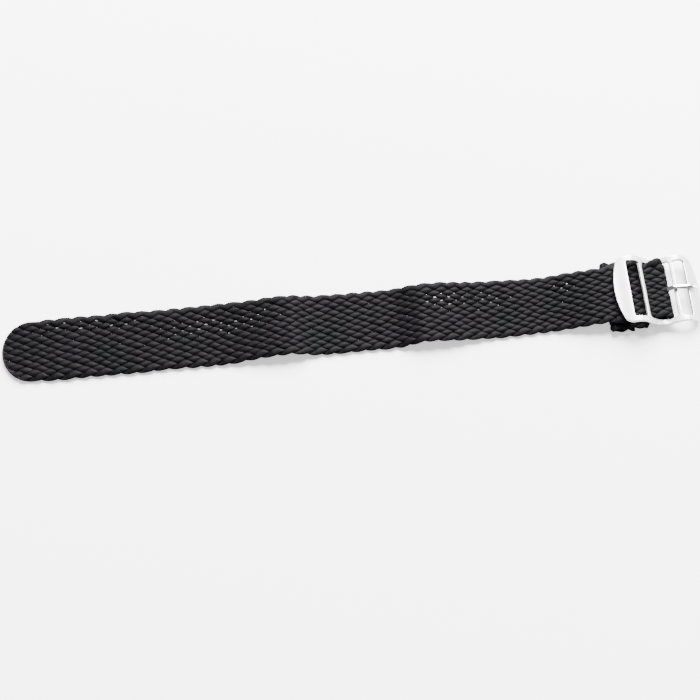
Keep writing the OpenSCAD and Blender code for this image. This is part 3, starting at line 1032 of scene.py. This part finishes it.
class STRAP_OT_prong(bpy.types.Operator):
    """Roll the prong's eye round the bar and lay its arm over the far plate"""

    bl_idname = "strap.prong"
    bl_label = "Prong"
    bl_options = UNDO

    def execute(self, context):
        look = context.scene.strap_buckle
        over_edge = STEEL_T / 2 + REST_EXTRA * (REST_GAP + PRONG_T / 2)
        root = Vector((BAR_C, wave(BAR_C)))
        near, far = (on_frame(c, over_edge) for c in (SLOT_START, FAR_SLOT_END))
        tip = near.lerp(far, (FAR_END - PRONG_SHORT - near.x) / (far.x - near.x))
        shoulder = root + SHOULDER * Vector((math.cos(LEAVE), math.sin(LEAVE)))
        nose = far.lerp(tip, NOSE_SHARE) - NOSE_DROP
        arm = [shoulder, *(near - step for step in CRANK), near, far, nose, tip - TIP_DROP]
        eye_r = BAR_R + EYE_PLAY + EYE_WALL / 2
        eye = [
            root + eye_r * Vector((math.cos(a), math.sin(a)))
            for a in steps(LEAVE + EYE_START, LEAVE + EYE_END, EYE_STEPS)
        ]
        rolled = smooth_path(eye + [eye[-1].lerp(shoulder, 0.35)], cuts=1)[:-1]
        path = rolled + smooth_path([eye[-1]] + arm, cuts=6)[1:]
        total = len(path) - 1
        rings = []
        for i, point in enumerate(path):
            along = heading(path, i)
            up = Vector((-along.y, along.x))
            grown = ease((i - len(eye) + GROW_BEFORE) / GROW_RINGS)
            slim = ease((i - total + SLIM_RINGS) / SLIM_RINGS)
            half_t = mix(mix(EYE_WALL, PRONG_T, grown), PRONG_TIP_T, slim) / 2
            half_w = PRONG_W / 2 * (1 - PRONG_SLIM * slim)
            end = max(0.0, 1 - (total - i) / ROUND_RINGS)
            round_off = math.sqrt(1 - end * end * ROUND_SHARE)
            half_w *= round_off
            half_t *= mix(1, round_off, 0.5)
            section = oval(half_w, half_t, sides=20, power=0.42)
            rings.append([on_bar(point + b * up, a) for a, b in section])
        bm = bmesh.new()
        tube(bm, rings, lambda ring, side: (ring * 0.3, side))
        close(bm)
        finish = steel_finish("polished_prong", look.colour, look.polish, grain=0.1)
        piece = new_piece("prong_arm", bm, [finish], ["prong"])
        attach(piece, "prong")
        return {"FINISHED"}


class STRAP_OT_stage(bpy.types.Operator):
    """Set the floor, the soft light and the camera"""

    bl_idname = "strap.stage"
    bl_label = "Stage"
    bl_options = UNDO

    def execute(self, context):
        scene = context.scene
        look = scene.strap_stage
        bm = bmesh.new()
        bmesh.ops.create_grid(bm, x_segments=1, y_segments=1, size=3.0)
        mesh = bpy.data.meshes.new("floor")
        bm.to_mesh(mesh)
        bm.free()
        floor = self.put(scene, "floor", mesh, (0, 0, FLOOR_Z), Quaternion())
        finish = Finish("pale_floor")
        dull = finish.node("BsdfDiffuse", {"Color": (*look.floor, 1), "Roughness": 0.5})
        glow = finish.node("Emission", {"Color": (1, 1, 1, 1), "Strength": FLOOR_GLOW})
        finish.end(finish.node("AddShader", {0: dull, 1: glow}))
        mesh.materials.append(finish.material)

        world = bpy.data.worlds.new("studio")
        world.use_nodes = True
        background = world.node_tree.nodes["Background"]
        background.inputs["Color"].default_value = (1, 1, 1, 1)
        background.inputs["Strength"].default_value = WORLD_LIGHT * look.light
        scene.world = world
        for name, place, size, power in LAMPS:
            lamp = bpy.data.lights.new(name, "AREA")
            lamp.shape, lamp.size, lamp.energy = "DISK", size, power * look.light
            self.put(scene, name, lamp, place, (-Vector(place)).to_track_quat("-Z", "Y"))

        a, e = look.azimuth, look.elevation
        back = Vector((math.sin(a) * math.cos(e), -math.cos(a) * math.cos(e), math.sin(e)))
        turn = (-back).to_track_quat("-Z", "Y")
        right, up = turn @ Vector((1, 0, 0)), turn @ Vector((0, 1, 0))
        pixel = look.view_width / VIEW_PIXELS
        aim = -right * (AIM_LEFT * pixel) - up * (AIM_DOWN * pixel)
        camera = bpy.data.cameras.new("camera")
        camera.lens = camera.sensor_width * look.distance / look.view_width
        camera.clip_start, camera.clip_end = 0.01, 10
        scene.camera = self.put(scene, "camera", camera, aim + back * look.distance, turn)
        return {"FINISHED"}

    @staticmethod
    def put(scene, name, data, place, turn):
        """Adds an object to the scene, at a place and turned."""
        thing = bpy.data.objects.new(name, data)
        thing.location = place
        thing.rotation_mode, thing.rotation_quaternion = "QUATERNION", turn
        scene.collection.objects.link(thing)
        return thing


class STRAP_PT_panel(bpy.types.Panel):
    """Lists the strap's settings and the operators that build it"""

    bl_idname = "STRAP_PT_panel"
    bl_label = "Braided Strap"
    bl_space_type = "VIEW_3D"
    bl_region_type = "UI"
    bl_category = "Strap"

    def draw(self, context):
        scene = context.scene
        groups = (
            (scene.strap_band, (STRAP_OT_band, STRAP_OT_tip, STRAP_OT_fold, STRAP_OT_stitches)),
            (scene.strap_buckle, (STRAP_OT_frame, STRAP_OT_prong)),
            (scene.strap_stage, (STRAP_OT_stage,)),
        )
        for settings, operators in groups:
            box = self.layout.box()
            for name in settings.__annotations__:
                box.prop(settings, name)
            for operator in operators:
                box.operator(operator.bl_idname)


CLASSES = (
    STRAP_PG_band, STRAP_PG_buckle, STRAP_PG_stage,
    STRAP_OT_band, STRAP_OT_tip, STRAP_OT_fold, STRAP_OT_stitches,
    STRAP_OT_frame, STRAP_OT_prong, STRAP_OT_stage, STRAP_PT_panel,
)


def register():
    for cls in CLASSES:
        bpy.utils.register_class(cls)
    bpy.types.Scene.strap_band = PointerProperty(type=STRAP_PG_band)
    bpy.types.Scene.strap_buckle = PointerProperty(type=STRAP_PG_buckle)
    bpy.types.Scene.strap_stage = PointerProperty(type=STRAP_PG_stage)


def unregister():
    del bpy.types.Scene.strap_stage, bpy.types.Scene.strap_buckle, bpy.types.Scene.strap_band
    for cls in reversed(CLASSES):
        bpy.utils.unregister_class(cls)


def main():
    register()
    bpy.ops.strap.stage()
    bpy.ops.strap.band()
    bpy.ops.strap.tip()
    bpy.ops.strap.fold()
    bpy.ops.strap.stitches()
    bpy.ops.strap.frame()
    bpy.ops.strap.prong()


if __name__ == "__main__":
    main()
